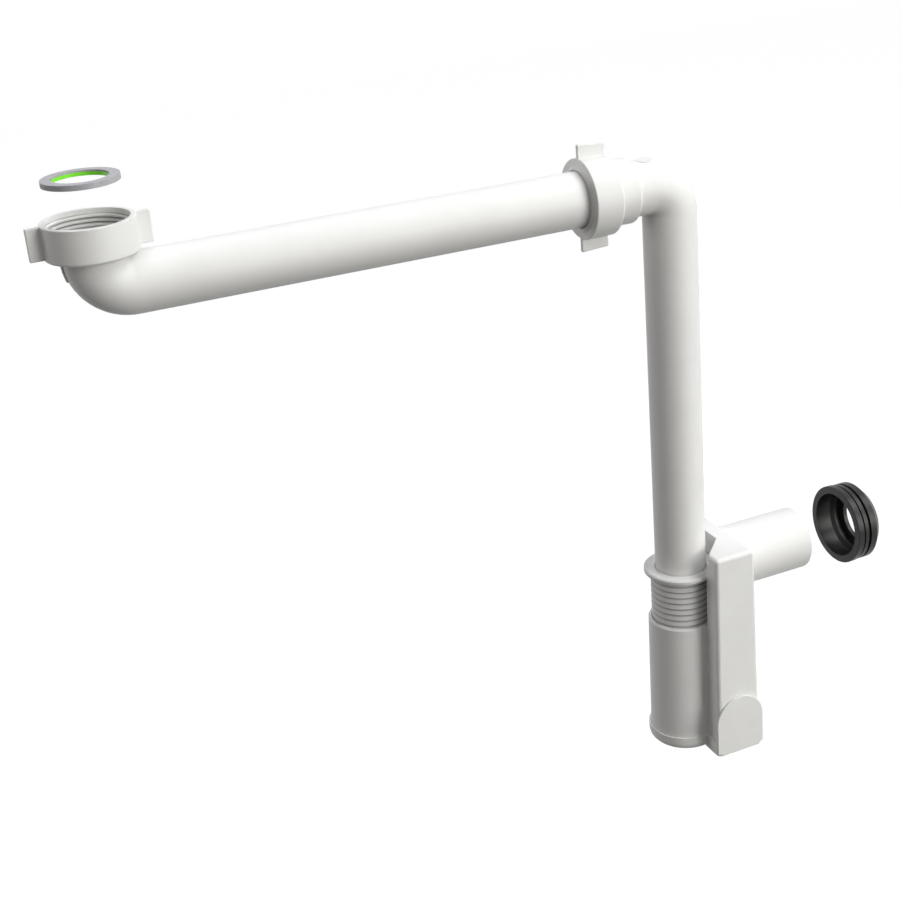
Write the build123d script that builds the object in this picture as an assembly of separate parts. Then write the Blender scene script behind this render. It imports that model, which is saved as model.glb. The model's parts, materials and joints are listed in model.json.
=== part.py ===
"""Space saving sink trap: a winged inlet nut, a long horizontal arm, a down pipe and a
compact trap whose riser wraps round its cup. Millimetres, +Z up. The origin is the centre
of the inlet nut's mouth, the arm runs along +X and the pipe hangs down from its far end."""
import os
from math import radians, tan

from build123d import *

# pipes
PIPE_R = 16.0            # 32 mm waste pipe
PIPE_WALL = 1.9
ELBOW_INSIDE = 1.0       # radius of the crease inside both elbows
ARM_REACH = 327.0        # inlet axis to down pipe axis

# clearances
RUN = 0.3                # between curved faces that pass each other
FIT = 0.06               # between a seal and the pipe it grips
FACE = 0.1               # between flat faces of pieces that move apart
LIP_PLAY = 0.2           # more than RUN, in the lips of the two nuts
GUIDE_PLAY = 0.1         # more than RUN, in the collar and the cup's ledge
BITE = 0.2               # how far a piece of a body reaches into its neighbour
FILLET_LIMIT = 0.9       # of the wall it is on

# inlet nut, for a G 1 1/4 waste
NUT_R = 23.5
NUT_WALL = 2.55
NUT_H = 18.0
NUT_THREAD_LEN = 8.4
NUT_RELIEF = 0.45        # run-out below the thread, in radius
NUT_LIP_H = 3.4
NUT_EDGE = 1.5
NUT_TOP_EDGE = 0.4
NUT_OVER_ARM = 2.0       # the nut's underside above the arm's top line

# wings of both nuts
WING_REACH = 7.0
WING_T = 2.6
WING_H = 17.0
WING_ROOT = 1.5
WING_TIP_EDGE = 0.8
WING_FACE_EDGE = 0.7

# inlet flange of the arm and its washer
FLANGE_SHARE = 0.7       # of the way from the nut's lip to its thread
FLANGE_H = 3.0
LUG_W = 4.0
LUG_H = 9.0
LUG_PROUD = 0.8
LUG_ROOT = 3.0
LUG_DROP = 2.5           # below the nut
WASHER_INSET = 0.4       # inside the flange's rim
WASHER_BORE_R = 14.0
WASHER_H = 2.8
WASHER_Z = 18.2          # underside, as the washer is shown lifted off
LINING_T = 1.0
LINING_H = 1.9

# arm nut, its slip ring and cone seal; the wall values share the room round the pipe
ARM_NUT_R = 23.0
ARM_NUT_SETBACK = 58.2   # its face to the down pipe's axis
ARM_NUT_LEN = 17.4
ARM_NUT_WALL = 1.8
ARM_NUT_LIP = 4.2
ARM_LIP_PROUD = 1.0      # the rim of its hole stands out of its face
ARM_LIP_LAND = 0.9
ARM_LIP_SLOPE = 1.5
ARM_NUT_ROUND = 1.6      # rear edge
ARM_NUT_EDGE = 0.6       # front edge
ARM_WING_REACH = 8.0
ARM_WING_TAPER = 1.0     # lower at the rear
RING_T = 2.0
SEAL_WALL = 3.44
SEAL_TIP_SHARE = 0.45    # the thin end of a cone seal against its rim
CONE_RIM = 2.0
CONE_LEN = 9.0

# socket of the down pipe
SOCKET_WALL = 1.1        # at its mouth, outside the seal
SOCKET_MOUTH_GAP = 0.4   # mouth behind the seal's rim
SOCKET_THREAD_LEN = 10.3
SOCKET_THREAD_H = 2.0
SOCKET_STEP = 0.5
SOCKET_SETBACK = 10.0    # its end before the elbow
SOCKET_STOP = 2.5        # inner shoulder before its end
SOCKET_ROUND = 2.0
ARM_SPARE = 6.5          # arm's free end to the shoulder

# trap, upwards from its lower rim
BODY_BOTTOM_Z = -404.8
PIPE_END_H = 18.8
DIP_H = 21.8             # lower edge of the wall between cup and riser
LEDGE_H = 33.3
LEDGE_T = 3.0
CUP_H = 85.8
RISER_H = 137.3
DRAFT = 0.63             # degrees, cup and riser narrow upwards

# cup of the trap; its wall and the collar's share the room round the pipe
CUP_R = 21.5             # at its top
CUP_WALL = 1.9
CUP_RIM = 1.0
CUP_FOOT = 2.0           # chamfer round its lower edge
SLEEVE_WALL = 2.9

# collar: flange and ribbed sleeve
COLLAR_OUT = 35.6        # top of its flange above the cup
COLLAR_R = 23.3
COLLAR_T = 2.6
COLLAR_EDGE = 0.8
SLEEVE_LEN = 43.0
SLEEVE_PLAIN = 2.5       # left free of ribs at its lower end
RIB_PITCH = 4.0
RIB_SHARE = 0.275        # of the sleeve's wall
RIB_LAND = 0.4
RIB_FOOT = 0.5
SLIP_T = 3.0

# riser of the trap; its sides are measured at its foot
RISER_OFFSET = 3.6       # left face from the cup's axis
RISER_DEPTH = 30.8
RISER_HALF_W = 36.3
RISER_WALL = 2.0
RISER_EDGE = 2.4
RISER_TOP_EDGE = 2.6
RECESS_PLAY = 0.5        # round the collar's flange
RECESS_STEP = 6.5        # this far below the top the round recess ends and a flared one begins
RECESS_BACK = 21.8       # back wall of the flared one from the cup's axis
RECESS_BACK_HALF_W = 8.6
RECESS_MOUTH_HALF_W = 27.6

# outlet spigot
SPIGOT_R = 20.0
SPIGOT_WALL = 2.0
SPIGOT_LEN = 52.6
SPIGOT_DROP = 0.5        # its top line below the riser's top
SPIGOT_EDGE = 1.2
SPIGOT_ROOT = 0.35
SPIGOT_ROOT_LEN = 1.3

# outlet seal: three rings over two grooves, a lip that grips and a stop rim
SEAL_AWAY = 32.4         # as it is shown pulled off the spigot
SEAL_DEPTH = 6.0
SEAL_LEN = 20.5
SEAL_EDGE = 0.4
SEAL_RING_LESS = 0.4
SEAL_RINGS = ((0.0, 4.4), (5.7, 8.4), (10.3, 14.8))
SEAL_GROOVE = 2.4
SEAL_SLOPE = 0.3
SEAL_TAIL_DEPTH = 0.8
SEAL_TAIL_LEN = 0.9
SEAL_BORE_PLAY = 1.14
SEAL_LEAD = (10.9, 13.7)
SEAL_STOP_T = 2.8
SEAL_STOP_R = 15.0

# cover
COVER_GAP = 0.15
COVER_WALL = 1.2
COVER_FLOOR = 2.0
COVER_SKIRT = 9.7
COVER_EDGE = 0.8
COVER_ROUND = 5.5        # under the cup
TONGUE_H = 20.3
GASKET_T = 1.1
GASKET_INSET = 0.2

# what follows from the values above
BEND_R = PIPE_R + ELBOW_INSIDE
ARM_DROP = NUT_H + NUT_OVER_ARM + PIPE_R
ELBOW_X = ARM_REACH - BEND_R
SOCKET_END_X = ELBOW_X - SOCKET_SETBACK
SOCKET_STOP_X = SOCKET_END_X - SOCKET_STOP
ARM_END_X = SOCKET_STOP_X - ARM_SPARE
ARM_NUT_X = ARM_REACH - ARM_NUT_SETBACK
LIP_R = PIPE_R + RUN + LIP_PLAY
GUIDE_R = PIPE_R + RUN + GUIDE_PLAY
SEAL_GRIP_R = PIPE_R + FIT
NUT_BORE_R = NUT_R - NUT_WALL
FLANGE_R = LIP_R + FLANGE_SHARE * (NUT_BORE_R - LIP_R)
WASHER_R = FLANGE_R - WASHER_INSET

ARM_ROOM = (ARM_NUT_R - SEAL_GRIP_R - 2 * RUN) / (ARM_NUT_WALL + SOCKET_WALL + SEAL_WALL)
ARM_NUT_BORE_R = ARM_NUT_R - ARM_NUT_WALL * ARM_ROOM
SOCKET_THREAD_R = ARM_NUT_BORE_R - RUN
SOCKET_R = SOCKET_THREAD_R - SOCKET_THREAD_H * ARM_ROOM
CONE_R = SEAL_GRIP_R + SEAL_WALL * ARM_ROOM

CUP_ROOM = (CUP_R - GUIDE_R - RUN) / (CUP_WALL + SLEEVE_WALL)
CUP_BORE_R = CUP_R - CUP_WALL * CUP_ROOM
CUP_BASE_R = CUP_R + CUP_H * tan(radians(DRAFT))
SLEEVE_R = CUP_BORE_R - RUN
RIB_DEPTH = RIB_SHARE * (SLEEVE_R - GUIDE_R)

PIPE_END_Z = BODY_BOTTOM_Z + PIPE_END_H
DIP_Z = BODY_BOTTOM_Z + DIP_H
LEDGE_Z = BODY_BOTTOM_Z + LEDGE_H
CUP_TOP_Z = BODY_BOTTOM_Z + CUP_H
COLLAR_Z = CUP_TOP_Z + COLLAR_OUT
RISER_TOP_Z = BODY_BOTTOM_Z + RISER_H
RISER_LEFT_X = ARM_REACH + RISER_OFFSET
RISER_RIGHT_X = RISER_LEFT_X + RISER_DEPTH
RECESS_R = COLLAR_R + RECESS_PLAY
RECESS_STEP_Z = RISER_TOP_Z - RECESS_STEP
SPIGOT_Z = RISER_TOP_Z - SPIGOT_DROP - SPIGOT_R
SPIGOT_END_X = RISER_RIGHT_X + SPIGOT_LEN
SEAL_X = SPIGOT_END_X + SEAL_AWAY
TONGUE_CENTRE_Z = BODY_BOTTOM_Z + TONGUE_H


def turned(profile):
    """A solid of revolution about Z from (radius, height) points."""
    outline = make_face(Polyline(*[(r, 0, z) for r, z in profile], close=True))
    return revolve(outline, Axis.Z, 360)


def along_x(profile, x, z):
    """A solid of revolution about X from (radius, distance) points."""
    return Pos(x, 0, z) * Rot(0, 90, 0) * turned(profile)


def disc(radius, z_low, z_high, x=0.0):
    return Pos(x, 0, (z_low + z_high) / 2) * Cylinder(radius, z_high - z_low)


def ring(outer, inner, z_low, z_high, x=0.0):
    return disc(outer, z_low, z_high, x) - disc(inner, z_low, z_high, x)


def rod(radius, corners):
    """A round bar along a path with one elbow at each inner corner."""
    path = FilletPolyline(*corners, radius=BEND_R)
    section = Plane(origin=path @ 0, z_dir=path % 0) * Circle(radius)
    return sweep(section, path=path)


def block(x_low, x_high, y_low, y_high, z_low, z_high):
    size = (x_high - x_low, y_high - y_low, z_high - z_low)
    middle = ((x_low + x_high) / 2, (y_low + y_high) / 2, (z_low + z_high) / 2)
    return Pos(*middle) * Box(*size)


def round_edges(solid, radius):
    """The solid's full circles of one radius."""
    circles = solid.edges().filter_by(GeomType.CIRCLE)
    return circles.filter_by(lambda edge: abs(edge.radius - radius) < 0.01)


def wing(base_r, reach, taper=0.0):
    """One thumb wing standing out along +X, its top face at z = 0; it may reach less below."""
    root = base_r - WING_ROOT
    tip_x = base_r + reach
    outline = make_face(Polyline((root, 0, 0), (tip_x, 0, 0), (tip_x - taper, 0, -WING_H),
                                 (root, 0, -WING_H), close=True))
    plate = extrude(outline, WING_T / 2, both=True)
    tip = plate.edges().filter_by(Axis.Y).sort_by(Axis.X)[-2:]
    plate = fillet(tip, WING_TIP_EDGE)
    rising = plate.edges().filter_by(lambda edge: edge.bounding_box().size.Z > WING_H / 2)
    return fillet(rising.sort_by(Axis.X)[-2:], WING_FACE_EDGE)


# inlet
def make_inlet_nut():
    lip_z = -NUT_H + NUT_LIP_H
    relief_r = NUT_BORE_R + NUT_RELIEF
    body = turned([(NUT_R, 0), (NUT_R, -NUT_H), (LIP_R, -NUT_H), (LIP_R, lip_z),
                   (relief_r, lip_z), (relief_r, -NUT_THREAD_LEN),
                   (NUT_BORE_R, -NUT_THREAD_LEN), (NUT_BORE_R, 0)])
    body = fillet(round_edges(body, NUT_R).sort_by(Axis.Z)[:1], NUT_EDGE)
    body = fillet(round_edges(body, NUT_R).sort_by(Axis.Z)[-1:], NUT_TOP_EDGE)
    one = wing(NUT_R, WING_REACH)
    return body + one + Rot(0, 0, 180) * one


def make_inlet_arm():
    seat_z = flange_top_z()
    corners = [(0, 0, seat_z), (0, 0, -ARM_DROP), (ARM_END_X, 0, -ARM_DROP)]
    outer = rod(PIPE_R, corners) + disc(FLANGE_R, seat_z - FLANGE_H, seat_z)
    top = -NUT_H - LUG_DROP
    lug = rod(PIPE_R + LUG_PROUD, corners) & block(
        -PIPE_R - 2 * LUG_PROUD, -PIPE_R + LUG_ROOT, -LUG_W / 2, LUG_W / 2, top - LUG_H, top)
    return outer + lug - rod(PIPE_R - PIPE_WALL, corners)


def flange_top_z():
    return -NUT_H + NUT_LIP_H + RUN + FLANGE_H


def make_washer():
    step = WASHER_BORE_R + LINING_T
    return turned([(WASHER_R, WASHER_Z), (WASHER_R, WASHER_Z + WASHER_H),
                   (WASHER_BORE_R, WASHER_Z + WASHER_H), (WASHER_BORE_R, WASHER_Z + LINING_H),
                   (step, WASHER_Z + LINING_H), (step, WASHER_Z)])


def make_washer_lining():
    return ring(WASHER_BORE_R + LINING_T, WASHER_BORE_R, WASHER_Z, WASHER_Z + LINING_H)


# arm joint
def make_arm_nut():
    land_r = LIP_R + ARM_LIP_LAND * ARM_ROOM
    foot_r = land_r + ARM_LIP_SLOPE * ARM_ROOM
    rear_round = min(ARM_NUT_ROUND, FILLET_LIMIT * (ARM_NUT_R - ARM_NUT_BORE_R))
    body = along_x([(LIP_R, -ARM_LIP_PROUD), (land_r, -ARM_LIP_PROUD), (foot_r, 0),
                    (ARM_NUT_R, 0), (ARM_NUT_R, ARM_NUT_LEN), (ARM_NUT_BORE_R, ARM_NUT_LEN),
                    (ARM_NUT_BORE_R, ARM_NUT_LIP), (LIP_R, ARM_NUT_LIP)],
                   ARM_NUT_X, -ARM_DROP)
    body = fillet(round_edges(body, ARM_NUT_R).sort_by(Axis.X)[-1:], rear_round)
    body = fillet(round_edges(body, ARM_NUT_R).sort_by(Axis.X)[:1], ARM_NUT_EDGE)
    one = Rot(0, -90, 0) * wing(ARM_NUT_R, ARM_WING_REACH, ARM_WING_TAPER)
    return body + Pos(ARM_NUT_X, 0, -ARM_DROP) * (one + Rot(180, 0, 0) * one)


def slip_x():
    return ARM_NUT_X + ARM_NUT_LIP + FACE


def cone_x():
    return slip_x() + RING_T + FACE


def make_arm_slip_ring():
    inner = PIPE_R + RUN
    outer = ARM_NUT_BORE_R - RUN
    return along_x([(inner, 0), (outer, 0), (outer, RING_T), (inner, RING_T)],
                   slip_x(), -ARM_DROP)


def make_arm_seal():
    return along_x([(SEAL_GRIP_R, 0), (CONE_R, 0), (CONE_R, CONE_RIM),
                    (tip_r(CONE_R), CONE_LEN), (SEAL_GRIP_R, CONE_LEN)], cone_x(), -ARM_DROP)


def tip_r(rim_r):
    """Radius at the thin end of a cone seal."""
    return SEAL_GRIP_R + SEAL_TIP_SHARE * (rim_r - SEAL_GRIP_R)


def make_down_pipe():
    mouth = cone_x() + SOCKET_MOUTH_GAP
    tip = cone_x() + CONE_LEN + RUN
    rim = cone_x() + CONE_RIM + RUN
    corners = [(SOCKET_STOP_X, 0, -ARM_DROP), (ARM_REACH, 0, -ARM_DROP),
               (ARM_REACH, 0, PIPE_END_Z)]
    pipe = rod(PIPE_R, corners)
    step = mouth + SOCKET_THREAD_LEN
    shell = along_x([(0, 0), (SOCKET_THREAD_R, 0), (SOCKET_THREAD_R, step - mouth),
                     (SOCKET_R, step - mouth + SOCKET_STEP), (SOCKET_R, SOCKET_END_X - mouth),
                     (0, SOCKET_END_X - mouth)], mouth, -ARM_DROP)
    end_round = min(SOCKET_ROUND, FILLET_LIMIT * (SOCKET_R - PIPE_R))
    shell = fillet(round_edges(shell, SOCKET_R).sort_by(Axis.X)[-1:], end_round)
    slide_r = PIPE_R + RUN
    cavity = along_x([(0, 0), (CONE_R + RUN, 0), (CONE_R + RUN, rim - mouth),
                      (tip_r(CONE_R) + RUN, tip - mouth), (slide_r, tip - mouth),
                      (slide_r, SOCKET_STOP_X - mouth), (0, SOCKET_STOP_X - mouth)],
                     mouth, -ARM_DROP)
    return pipe + shell - cavity - rod(PIPE_R - PIPE_WALL, corners)


# collar joint
def make_collar():
    under = COLLAR_Z - COLLAR_T
    root_r = SLEEVE_R - RIB_DEPTH
    profile = [(GUIDE_R, COLLAR_Z), (COLLAR_R - COLLAR_EDGE, COLLAR_Z),
               (COLLAR_R, COLLAR_Z - COLLAR_EDGE), (COLLAR_R, under), (root_r, under)]
    for i in range(int((SLEEVE_LEN - SLEEVE_PLAIN) / RIB_PITCH)):
        low = under - (i + 1) * RIB_PITCH
        profile += [(SLEEVE_R, low + RIB_FOOT + RIB_LAND), (SLEEVE_R, low + RIB_FOOT),
                    (root_r, low)]
    profile += [(root_r, under - SLEEVE_LEN), (GUIDE_R, under - SLEEVE_LEN)]
    return Pos(ARM_REACH, 0, 0) * turned(profile)


def collar_slip_z():
    return COLLAR_Z - COLLAR_T - SLEEVE_LEN - FACE


def make_collar_slip_ring():
    low = collar_slip_z() - SLIP_T
    return ring(SLEEVE_R, PIPE_R + RUN, low, collar_slip_z(), ARM_REACH)


def make_collar_seal():
    low = LEDGE_Z + FACE
    high = low + CONE_LEN
    wide = SLEEVE_R - FACE
    return Pos(ARM_REACH, 0, 0) * turned([(SEAL_GRIP_R, low), (tip_r(wide), low),
                                          (wide, high - CONE_RIM), (wide, high),
                                          (SEAL_GRIP_R, high)])


# trap
def riser_block(inset, z_low, z_high, draft=DRAFT):
    """The riser's outer form, or its cavity when inset by the wall."""
    lean = (z_low - BODY_BOTTOM_Z) * tan(radians(draft))
    foot = Rectangle(RISER_DEPTH - 2 * (inset + lean), 2 * (RISER_HALF_W - inset - lean))
    middle = (RISER_LEFT_X + RISER_RIGHT_X) / 2
    return extrude(Pos(middle, 0, z_low) * foot, z_high - z_low, taper=draft)


def flared_recess(grow, z_low, z_high):
    """Room for the pipe at the riser's top: a flat back and two walls that open to the left."""
    outline = make_face(Polyline(
        (RECESS_BACK, -RECESS_BACK_HALF_W), (RECESS_BACK, RECESS_BACK_HALF_W),
        (RISER_OFFSET, RECESS_MOUTH_HALF_W), (0, RECESS_MOUTH_HALF_W),
        (0, -RECESS_MOUTH_HALF_W), (RISER_OFFSET, -RECESS_MOUTH_HALF_W), close=True))
    if grow > 0:
        outline = offset(outline, grow, kind=Kind.INTERSECTION)
    return Pos(ARM_REACH, 0, z_low) * extrude(outline, z_high - z_low)


def make_trap_body():
    outer = riser_block(0, BODY_BOTTOM_Z, RISER_TOP_Z)
    rising = outer.edges().filter_by(lambda edge: edge.bounding_box().size.Z > RISER_EDGE)
    outer = fillet(rising, RISER_EDGE)
    outer = fillet(outer.faces().sort_by(Axis.Z)[-1].edges(), RISER_TOP_EDGE)
    outer -= flared_recess(0, RECESS_STEP_Z, RISER_TOP_Z + 1)
    outer -= disc(RECESS_R, CUP_TOP_Z, RECESS_STEP_Z, ARM_REACH)
    cup = Pos(ARM_REACH, 0, 0) * turned(
        [(0, BODY_BOTTOM_Z), (CUP_BASE_R - CUP_FOOT, BODY_BOTTOM_Z),
         (CUP_BASE_R, BODY_BOTTOM_Z + CUP_FOOT), (CUP_R, CUP_TOP_Z - CUP_RIM),
         (CUP_R - CUP_RIM, CUP_TOP_Z), (0, CUP_TOP_Z)])
    inset = RISER_WALL + RISER_TOP_EDGE
    spigot_from = RISER_RIGHT_X - inset
    spigot = along_x([(0, 0), (SPIGOT_R + SPIGOT_ROOT, 0), (SPIGOT_R + SPIGOT_ROOT, inset),
                      (SPIGOT_R, inset + SPIGOT_ROOT_LEN), (SPIGOT_R, inset + SPIGOT_LEN),
                      (0, inset + SPIGOT_LEN)], spigot_from, SPIGOT_Z)
    spigot = fillet(spigot.edges().filter_by(GeomType.CIRCLE).sort_by(Axis.X)[-1:], SPIGOT_EDGE)
    body = outer + cup + spigot

    shelf = CUP_TOP_Z - RISER_WALL
    upper = riser_block(RISER_WALL, shelf, RISER_TOP_Z - RISER_WALL)
    upper -= flared_recess(RISER_WALL, RECESS_STEP_Z - RISER_WALL, RISER_TOP_Z)
    upper -= disc(RECESS_R + RISER_WALL, shelf, RECESS_STEP_Z + RISER_WALL, ARM_REACH)
    lower = riser_block(RISER_WALL, DIP_Z, shelf) - disc(CUP_R, DIP_Z, shelf, ARM_REACH)
    sump = riser_block(RISER_WALL, BODY_BOTTOM_Z, DIP_Z)
    body -= upper
    body -= lower
    body -= sump
    body -= disc(CUP_BORE_R, BODY_BOTTOM_Z, CUP_TOP_Z, ARM_REACH)
    spigot_bore = SPIGOT_R - SPIGOT_WALL
    reach = SPIGOT_END_X - spigot_from + RISER_WALL
    body -= along_x([(0, 0), (spigot_bore, 0), (spigot_bore, reach), (0, reach)],
                    spigot_from - RISER_WALL, SPIGOT_Z)
    return body + ring(CUP_BORE_R + BITE, GUIDE_R, LEDGE_Z - LEDGE_T, LEDGE_Z, ARM_REACH)


def floor_top_z():
    return BODY_BOTTOM_Z - FACE - GASKET_T


def make_bottom_cover():
    low = floor_top_z() - COVER_FLOOR
    high = low + COVER_SKIRT
    grow = COVER_GAP + COVER_WALL
    shell = riser_block(-grow, low, high, 0)
    shell = fillet(shell.edges().filter_by(Axis.Z), RISER_EDGE + grow)
    shell = fillet(shell.faces().sort_by(Axis.Z)[0].edges(), COVER_EDGE)
    for side in (-1, 1):
        y_out = side * (RISER_HALF_W + grow)
        y_in = side * (RISER_HALF_W + COVER_GAP)
        shell += tongue(min(y_out, y_in), max(y_out, y_in), low)
    round_part = disc(CUP_BASE_R + grow, low, high, ARM_REACH)
    round_part = fillet(round_part.edges().sort_by(Axis.Z)[:1], COVER_ROUND)
    shell += round_part
    room = riser_block(-COVER_GAP, floor_top_z(), high, 0)
    room = fillet(room.edges().filter_by(Axis.Z), RISER_EDGE + COVER_GAP)
    round_room = disc(CUP_BASE_R + COVER_GAP, floor_top_z(), high, ARM_REACH)
    round_room = chamfer(round_room.edges().sort_by(Axis.Z)[:1], CUP_FOOT)
    return shell - room - round_room


def tongue(y_low, y_high, z_low):
    """A round-topped grip that rises from the skirt against the riser's face."""
    grow = COVER_GAP + COVER_WALL
    left = RISER_LEFT_X - grow
    right = RISER_RIGHT_X + grow
    middle = (left + right) / 2
    radius = (right - left) / 2
    plate = block(left, right, y_low, y_high, z_low + RISER_EDGE, TONGUE_CENTRE_Z)
    head = Pos(middle, (y_low + y_high) / 2, TONGUE_CENTRE_Z) * Rot(90, 0, 0) * Cylinder(
        radius, y_high - y_low)
    return plate + head


def make_cover_seal():
    low = floor_top_z()
    high = low + GASKET_T
    outer = riser_block(GASKET_INSET, low, high, 0)
    outer = fillet(outer.edges().filter_by(Axis.Z), RISER_EDGE)
    outer += disc(CUP_BASE_R - CUP_FOOT - GASKET_INSET, low, high, ARM_REACH)
    inner = riser_block(RISER_WALL, low, high, 0) + disc(CUP_BORE_R, low, high, ARM_REACH)
    return outer - inner


def make_outlet_seal():
    rim = SPIGOT_R + SEAL_DEPTH
    grip = SPIGOT_R + FIT
    bore = grip + SEAL_BORE_PLAY
    profile = [(bore, 0), (rim - SEAL_EDGE, 0), (rim, SEAL_EDGE)]
    for start, stop in SEAL_RINGS:
        outer = rim if start == 0 else rim - SEAL_RING_LESS
        if start > 0:
            profile += [(rim - SEAL_GROOVE, start - SEAL_SLOPE), (outer, start)]
        profile += [(outer, stop)]
        if stop < SEAL_RINGS[-1][1]:
            profile += [(rim - SEAL_GROOVE, stop + SEAL_SLOPE)]
    tail = SEAL_LEN - SEAL_TAIL_LEN
    stop_from = SEAL_LEN - SEAL_STOP_T
    profile += [(SPIGOT_R + SEAL_TAIL_DEPTH, tail), (SPIGOT_R - SEAL_EDGE, SEAL_LEN),
                (SEAL_STOP_R, SEAL_LEN), (SEAL_STOP_R, stop_from), (grip, stop_from),
                (grip, SEAL_LEAD[1]), (bore, SEAL_LEAD[0])]
    return along_x(profile, SEAL_X, SPIGOT_Z)


PARTS = {
    "inlet_nut": make_inlet_nut,
    "inlet_arm": make_inlet_arm,
    "inlet_washer": make_washer,
    "washer_lining": make_washer_lining,
    "arm_nut": make_arm_nut,
    "arm_slip_ring": make_arm_slip_ring,
    "arm_seal": make_arm_seal,
    "down_pipe": make_down_pipe,
    "collar": make_collar,
    "collar_slip_ring": make_collar_slip_ring,
    "collar_seal": make_collar_seal,
    "trap_body": make_trap_body,
    "bottom_cover": make_bottom_cover,
    "cover_seal": make_cover_seal,
    "outlet_seal": make_outlet_seal,
}

os.makedirs("parts", exist_ok=True)
for name, make in PARTS.items():
    export_step(make(), f"parts/{name}.step")
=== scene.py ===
import json
import math

import bmesh
import bpy
from mathutils import Matrix, Vector


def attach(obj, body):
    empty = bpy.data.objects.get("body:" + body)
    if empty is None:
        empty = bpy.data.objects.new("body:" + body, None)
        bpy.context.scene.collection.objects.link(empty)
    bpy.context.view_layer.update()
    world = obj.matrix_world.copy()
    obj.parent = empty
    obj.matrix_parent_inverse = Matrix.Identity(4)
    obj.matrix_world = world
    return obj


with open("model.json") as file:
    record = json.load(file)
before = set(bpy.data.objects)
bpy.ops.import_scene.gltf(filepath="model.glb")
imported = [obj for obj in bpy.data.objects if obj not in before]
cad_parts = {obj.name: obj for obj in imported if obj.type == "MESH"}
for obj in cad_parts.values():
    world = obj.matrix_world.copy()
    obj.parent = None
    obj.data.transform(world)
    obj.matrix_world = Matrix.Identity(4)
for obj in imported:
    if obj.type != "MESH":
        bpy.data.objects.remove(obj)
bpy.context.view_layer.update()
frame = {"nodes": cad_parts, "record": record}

MM = 0.001

# photograph: camera found from the straight edges of the pipes and the circles of the nuts
IMAGE = 900
FOCAL_PX = 1539.13
CENTRE_PX = (511.1, 397.93)
YAW, PITCH, ROLL = (math.radians(a) for a in (66.31, 21.48, -4.2))
CAMERA_AT = (-0.11279, -0.7548, 0.17967)
CAMERA_NEAR = 0.05
SENSOR = 36.0

# stage, in metres
FLOOR_Z = -1.15
FLOOR_SIZE = 14.0
FLOOR_PAINT = 0.12       # takes the light and the object's shadow
FLOOR_WHITE = 0.985      # shown to camera, glossy and transmission rays
WORLD_LIGHT = 0.05
WORLD_TINT = (0.95, 0.96, 1.0, 1)
WHITE = (1, 1, 1, 1)

# lamps: name, azimuth and elevation in degrees seen from their target, power, colour
LAMP_TARGET = (0.18, 0.0, -0.18)
LAMP_AWAY = 3.0
LAMP_WIDTH = 1.7
LAMPS = [
    ("lamp_right_high", 329, 55, 49.0, (0.965, 0.98, 1.0)),
    ("lamp_front_low", 303, 12, 47.0, (1.0, 0.99, 0.945)),
    ("lamp_front", 297, 30, 14.0, (1.0, 0.99, 0.955)),
    ("lamp_left_high", 232, 48, 10.0, (1.0, 0.98, 0.95)),
    ("lamp_back_high", 75, 62, 33.0, (0.93, 0.95, 1.0)),
    ("lamp_rim", 145, 8, 23.0, (1.0, 0.965, 0.94)),
]

# surfaces by slot: colour from low to high, roughness from low to high, noise scales, grain strength
CLOUD_EDGES = (0.32, 0.68)
GRAIN_DEPTH = 0.0002     # in metres
SATIN_PLASTIC = dict(roughness=(0.42, 0.52), cloud_scale=40, grain_scale=900, grain=0.05, specular=0.3)
MATTE_RUBBER = dict(roughness=(0.55, 0.7), cloud_scale=160, grain_scale=2600, grain=0.2, specular=0.3)
SURFACES = {
    "white_plastic": dict(SATIN_PLASTIC, low=(0.80, 0.797, 0.785), high=(0.83, 0.828, 0.818)),
    "collar_plastic": dict(SATIN_PLASTIC, low=(0.72, 0.716, 0.712), high=(0.77, 0.766, 0.762)),
    "slip_plastic": dict(
        low=(0.74, 0.74, 0.73), high=(0.78, 0.78, 0.77), roughness=(0.4, 0.5),
        cloud_scale=60, grain_scale=1200, grain=0.04, specular=0.5),
    "washer_rubber": dict(MATTE_RUBBER, low=(0.40, 0.39, 0.415), high=(0.46, 0.45, 0.475)),
    "green_lining": dict(
        low=(0.20, 0.84, 0.02), high=(0.24, 0.89, 0.035), roughness=(0.4, 0.5),
        cloud_scale=160, grain_scale=2000, grain=0.1, specular=0.5),
    "grey_seal": dict(MATTE_RUBBER, low=(0.27, 0.27, 0.28), high=(0.32, 0.32, 0.33)),
    "black_rubber": dict(
        low=(0.012, 0.012, 0.012), high=(0.020, 0.020, 0.0195), roughness=(0.32, 0.42),
        cloud_scale=120, grain_scale=2200, grain=0.12, specular=0.24),
}

# inlet thread, in millimetres
THREAD_PITCH = 2.309
THREAD_TOP_Z = -2.45
THREAD_END_Z = -10.0     # above the arm's flange
THREAD_START = 250.0     # degrees round the nut
THREAD_FOOT_R = 21.6     # inside the nut's wall
THREAD_ROOT_R = 20.9
THREAD_CREST_R = 19.6
THREAD_CREST_HALF = 0.38
THREAD_BEVEL_R = 0.1
THREAD_BEVEL_H = 0.12
THREAD_STEPS = 120       # in one turn
THREAD_FADE = 0.12       # of a turn, in which the ridge rises and sinks
THREAD_FADE_LEAST = 0.3
THREAD_CREST_BAND = 0.2  # below the crest, still in full tone, free of the painted shade
# painted shade: share of the colour left at the thread's root, where the groove is in shadow
THREAD_ROOT_PAINTED_SHADE = 0.4

# painted shade in the grooves between the collar's ribs, in millimetres
GROOVE_TOP_Z = -286.0
GROOVE_PITCH = 4.0
GROOVE_SHIFT = 0.6       # the painted shade starts this far above
GROOVE_PAINTED_SHADE = ((0.0, 1.0), (0.10, 0.50), (0.26, 0.55), (0.46, 1.0))     # place in one pitch, tone of the painted shade

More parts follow.
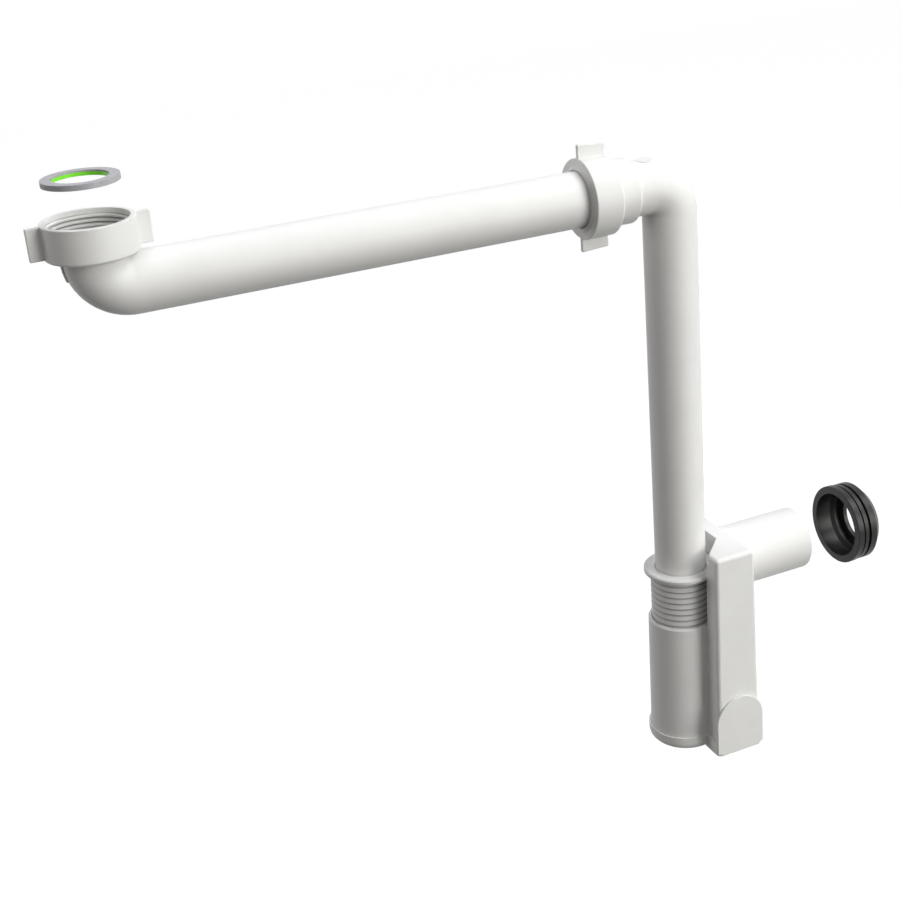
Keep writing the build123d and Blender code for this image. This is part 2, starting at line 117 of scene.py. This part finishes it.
# round pad on top of the elbow, in millimetres
PAD_AT = (311.5, 0.0)
PAD_R = 5.6
PAD_TOP_Z = -19.9
PAD_FOOT_Z = -21.8       # inside the elbow's wall
PAD_EDGE = 0.4
PAD_EDGE_MID = 0.3       # of the edge, at the middle of its round
PAD_STEPS = 64


def make_camera():
    fwd = Vector((math.cos(YAW) * math.cos(PITCH), math.sin(YAW) * math.cos(PITCH), -math.sin(PITCH)))
    right = fwd.cross(Vector((0, 0, 1))).normalized()
    up = right.cross(fwd)
    side = right * math.cos(ROLL) + up * math.sin(ROLL)
    top = -right * math.sin(ROLL) + up * math.cos(ROLL)
    data = bpy.data.cameras.new("camera")
    data.sensor_width = SENSOR
    data.lens = SENSOR * FOCAL_PX / IMAGE
    data.shift_x = (IMAGE / 2 - CENTRE_PX[0]) / IMAGE
    data.shift_y = (CENTRE_PX[1] - IMAGE / 2) / IMAGE
    data.clip_start = CAMERA_NEAR
    camera = bpy.data.objects.new("camera", data)
    camera.matrix_world = Matrix.Translation(CAMERA_AT) @ Matrix((side, top, -fwd)).transposed().to_4x4()
    bpy.context.scene.collection.objects.link(camera)
    bpy.context.scene.camera = camera


def add(tree, kind, **inputs):
    """A new node, with numbers set on the inputs of those names."""
    node = tree.nodes.new(kind)
    for name, value in inputs.items():
        node.inputs[name.replace("_", " ")].default_value = value
    return node


def maths(tree, operation, *values):
    """The result of a maths node, whose values are numbers or outputs of other nodes."""
    node = tree.nodes.new("ShaderNodeMath")
    node.operation = operation
    for i, value in enumerate(values):
        if isinstance(value, (int, float)):
            node.inputs[i].default_value = value
        else:
            tree.links.new(value, node.inputs[i])
    return node.outputs[0]


def seen_directly(tree):
    """1 for camera, glossy and transmission rays, 0 for the rays that light the object."""
    path = tree.nodes.new("ShaderNodeLightPath")
    first = maths(tree, "MAXIMUM", path.outputs["Is Camera Ray"], path.outputs["Is Glossy Ray"])
    return maths(tree, "MAXIMUM", first, path.outputs["Is Transmission Ray"])


def make_world():
    world = bpy.data.worlds.new("studio")
    world.use_nodes = True
    tree = world.node_tree
    tree.nodes.clear()
    light = add(tree, "ShaderNodeBackground", Color=WORLD_TINT, Strength=WORLD_LIGHT)
    white = add(tree, "ShaderNodeBackground", Color=WHITE, Strength=1.0)
    mix = tree.nodes.new("ShaderNodeMixShader")
    out = tree.nodes.new("ShaderNodeOutputWorld")
    tree.links.new(seen_directly(tree), mix.inputs[0])
    tree.links.new(light.outputs[0], mix.inputs[1])
    tree.links.new(white.outputs[0], mix.inputs[2])
    tree.links.new(mix.outputs[0], out.inputs[0])
    bpy.context.scene.world = world


def floor_paint():
    """Grey to the rays that light the object, white to those that show the floor."""
    mat = bpy.data.materials.new("floor_paint")
    mat.use_nodes = True
    tree = mat.node_tree
    tree.nodes.clear()
    paint = add(tree, "ShaderNodeBsdfDiffuse", Color=(FLOOR_PAINT, FLOOR_PAINT, FLOOR_PAINT, 1))
    white = add(tree, "ShaderNodeEmission", Color=WHITE)
    both = tree.nodes.new("ShaderNodeAddShader")
    out = tree.nodes.new("ShaderNodeOutputMaterial")
    tree.links.new(maths(tree, "MULTIPLY", seen_directly(tree), FLOOR_WHITE), white.inputs["Strength"])
    tree.links.new(paint.outputs[0], both.inputs[0])
    tree.links.new(white.outputs[0], both.inputs[1])
    tree.links.new(both.outputs[0], out.inputs[0])
    return mat


def make_floor():
    half = FLOOR_SIZE / 2
    corners = [(x, y, FLOOR_Z) for x, y in ((-half, -half), (half, -half), (half, half), (-half, half))]
    mesh = bpy.data.meshes.new("floor")
    mesh.from_pydata(corners, [], [(0, 1, 2, 3)])
    mesh.materials.append(floor_paint())
    floor = bpy.data.objects.new("floor", mesh)
    bpy.context.scene.collection.objects.link(floor)


def make_lamps():
    for name, azimuth, elevation, power, colour in LAMPS:
        turn = math.radians(azimuth)
        lift = math.radians(elevation)
        away = Vector((math.cos(turn) * math.cos(lift), math.sin(turn) * math.cos(lift), math.sin(lift)))
        data = bpy.data.lights.new(name, "AREA")
        data.shape = "DISK"
        data.size = LAMP_WIDTH
        data.energy = power
        data.color = colour
        lamp = bpy.data.objects.new(name, data)
        lamp.location = Vector(LAMP_TARGET) + away * LAMP_AWAY
        lamp.rotation_euler = (-away).to_track_quat("-Z", "Y").to_euler()
        bpy.context.scene.collection.objects.link(lamp)


def surface(name, low, high, roughness, cloud_scale, grain_scale, grain, specular):
    """A moulded surface: colour clouds from low to high, uneven gloss and a fine grain."""
    mat = bpy.data.materials.new(name)
    mat.use_nodes = True
    tree = mat.node_tree
    tree.nodes.clear()
    links = tree.links
    place = tree.nodes.new("ShaderNodeTexCoord")
    clouds = add(tree, "ShaderNodeTexNoise", Scale=cloud_scale, Detail=3.0, Roughness=0.55)
    tone = tree.nodes.new("ShaderNodeValToRGB")
    for stop, spot, colour in zip(tone.color_ramp.elements, CLOUD_EDGES, (low, high)):
        stop.position = spot
        stop.color = (*colour, 1)
    gloss = add(tree, "ShaderNodeMapRange", To_Min=roughness[0], To_Max=roughness[1])
    grains = add(tree, "ShaderNodeTexNoise", Scale=grain_scale, Detail=4.0, Roughness=0.6)
    bump = add(tree, "ShaderNodeBump", Strength=grain, Distance=GRAIN_DEPTH)
    shader = tree.nodes.new("ShaderNodeBsdfPrincipled")
    shader.inputs["Specular IOR Level"].default_value = specular
    out = tree.nodes.new("ShaderNodeOutputMaterial")
    links.new(place.outputs["Object"], clouds.inputs["Vector"])
    links.new(place.outputs["Object"], grains.inputs["Vector"])
    links.new(clouds.outputs["Fac"], tone.inputs["Fac"])
    links.new(clouds.outputs["Fac"], gloss.inputs["Value"])
    links.new(grains.outputs["Fac"], bump.inputs["Height"])
    links.new(tone.outputs["Color"], shader.inputs["Base Color"])
    links.new(gloss.outputs["Result"], shader.inputs["Roughness"])
    links.new(bump.outputs["Normal"], shader.inputs["Normal"])
    links.new(shader.outputs[0], out.inputs[0])
    return mat


def multiply_painted_shade(tree, tone):
    """Multiplies the surface's colour by a tone of painted shade and returns the mix node, at full
    strength.
    """
    mix = tree.nodes.new("ShaderNodeMix")
    mix.data_type = "RGBA"
    mix.blend_type = "MULTIPLY"
    mix.inputs["Factor"].default_value = 1.0
    colour = tree.nodes["Principled BSDF"].inputs["Base Color"]
    tree.links.new(colour.links[0].from_socket, mix.inputs["A"])
    tree.links.new(tone, mix.inputs["B"])
    tree.links.new(mix.outputs["Result"], colour)
    return mix


def paint_thread_root_shade(mat):
    """Painted shade: darker colour towards the root of the inlet thread, where its grooves lie in
    shadow.
    """
    tree = mat.node_tree
    place = tree.nodes.new("ShaderNodeTexCoord")
    level = tree.nodes.new("ShaderNodeVectorMath")
    level.operation = "MULTIPLY"
    level.inputs[1].default_value = (1, 1, 0)
    radius = tree.nodes.new("ShaderNodeVectorMath")
    radius.operation = "LENGTH"
    tone = add(tree, "ShaderNodeMapRange", From_Min=(THREAD_CREST_R + THREAD_CREST_BAND) * MM,
               From_Max=THREAD_ROOT_R * MM, To_Min=1.0, To_Max=THREAD_ROOT_PAINTED_SHADE)
    tree.links.new(place.outputs["Object"], level.inputs[0])
    tree.links.new(level.outputs["Vector"], radius.inputs[0])
    tree.links.new(radius.outputs["Value"], tone.inputs["Value"])
    # painted shade towards the thread's root
    multiply_painted_shade(tree, tone.outputs["Result"])


def paint_groove_shade(mat):
    """Painted shade: darker colour in the narrow grooves under each rib of the collar, where shadow
    falls.
    """
    tree = mat.node_tree
    place = tree.nodes.new("ShaderNodeTexCoord")
    split = tree.nodes.new("ShaderNodeSeparateXYZ")
    tree.links.new(place.outputs["Object"], split.inputs[0])
    height = split.outputs["Z"]
    top = (GROOVE_TOP_Z + GROOVE_SHIFT) / GROOVE_PITCH
    pitches = maths(tree, "MULTIPLY_ADD", height, -1 / (GROOVE_PITCH * MM), top)
    ramp = tree.nodes.new("ShaderNodeValToRGB")
    stops = ramp.color_ramp.elements
    while len(stops) < len(GROOVE_PAINTED_SHADE):
        stops.new(0.5)
    for stop, (spot, tone) in zip(stops, GROOVE_PAINTED_SHADE):
        stop.position = spot
        stop.color = (tone, tone, tone, 1)
    tree.links.new(maths(tree, "FRACT", pitches), ramp.inputs["Fac"])
    # painted shade in the grooves, only below the collar's top rib
    mix = multiply_painted_shade(tree, ramp.outputs["Color"])
    tree.links.new(maths(tree, "LESS_THAN", height, GROOVE_TOP_Z * MM), mix.inputs["Factor"])


def dress():
    """Gives each solid the surface of its slot, and returns the surfaces."""
    looks = {slot: surface(slot, **values) for slot, values in SURFACES.items()}
    # the thread's material: white plastic with painted shade towards the root
    looks["thread_plastic_painted_shade"] = surface("thread_plastic_painted_shade", **SURFACES["white_plastic"])
    paint_thread_root_shade(looks["thread_plastic_painted_shade"])
    # painted shade in the collar's grooves
    paint_groove_shade(looks["collar_plastic"])
    for part in frame["record"]["subparts"]:
        mesh = frame["nodes"][part["node"]].data
        mesh.materials.clear()
        mesh.materials.append(looks[part["material_slot"]])
    return looks


def link_piece(made, name, mat, body):
    """Turns a bmesh into a piece of white plastic that rides on a body."""
    mesh = bpy.data.meshes.new(name)
    made.to_mesh(mesh)
    made.free()
    mesh.materials.append(mat)
    piece = bpy.data.objects.new(name, mesh)
    bpy.context.scene.collection.objects.link(piece)
    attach(piece, body)


def skin(made, rows):
    """Faces between neighbouring rings of vertices, and one face over each end."""
    size = len(rows[0])
    for one, two in zip(rows, rows[1:]):
        for k in range(size):
            made.faces.new((one[k], one[(k + 1) % size], two[(k + 1) % size], two[k]))
    made.faces.new(list(reversed(rows[0])))
    made.faces.new(rows[-1])


def thread_profile():
    """Radius and height round the ridge's section: out of the wall, over the crest and back."""
    half = THREAD_PITCH / 2
    upper = [(THREAD_FOOT_R, half), (THREAD_ROOT_R, half),
             (THREAD_CREST_R + THREAD_BEVEL_R, THREAD_CREST_HALF + THREAD_BEVEL_H),
             (THREAD_CREST_R, THREAD_CREST_HALF)]
    return upper + [(radius, -height) for radius, height in reversed(upper)]


def make_inlet_thread(looks):
    """The thread in the inlet nut: a ridge that goes down right-handed from near its mouth."""
    made = bmesh.new()
    profile = thread_profile()
    count = int((THREAD_TOP_Z - THREAD_END_Z) / THREAD_PITCH * THREAD_STEPS)
    rows = []
    for i in range(count + 1):
        angle = math.radians(THREAD_START) - 2 * math.pi * i / THREAD_STEPS
        middle = THREAD_TOP_Z - THREAD_PITCH * i / THREAD_STEPS
        fade = min(1.0, min(i, count - i) / (THREAD_STEPS * THREAD_FADE))
        rise = max(fade, THREAD_FADE_LEAST)
        row = []
        for r, height in profile:
            radius = THREAD_FOOT_R - (THREAD_FOOT_R - r) * rise
            place = (radius * math.cos(angle), radius * math.sin(angle), middle + height)
            row.append(made.verts.new(Vector(place) * MM))
        rows.append(row)
    skin(made, rows)
    bmesh.ops.recalc_face_normals(made, faces=made.faces)
    # the ridge's material carries painted shade towards its root
    link_piece(made, "inlet_thread_ridge", looks["thread_plastic_painted_shade"], "inlet_nut")


def make_elbow_pad(looks):
    """A low round pad with a rounded edge, standing out of the top of the elbow."""
    made = bmesh.new()
    bend = PAD_EDGE * PAD_EDGE_MID
    profile = [(PAD_R, PAD_FOOT_Z), (PAD_R, PAD_TOP_Z - PAD_EDGE), (PAD_R - bend, PAD_TOP_Z - bend),
               (PAD_R - PAD_EDGE, PAD_TOP_Z)]
    turns = [2 * math.pi * i / PAD_STEPS for i in range(PAD_STEPS)]
    rows = []
    for radius, z in profile:
        row = []
        for turn in turns:
            place = (PAD_AT[0] + radius * math.cos(turn), PAD_AT[1] + radius * math.sin(turn), z)
            row.append(made.verts.new(Vector(place) * MM))
        rows.append(row)
    skin(made, rows)
    link_piece(made, "elbow_pad", looks["white_plastic"], "down_pipe")


make_camera()
make_world()
make_floor()
make_lamps()
materials = dress()
make_inlet_thread(materials)
make_elbow_pad(materials)

bpy.context.scene.view_settings.view_transform = "Standard"
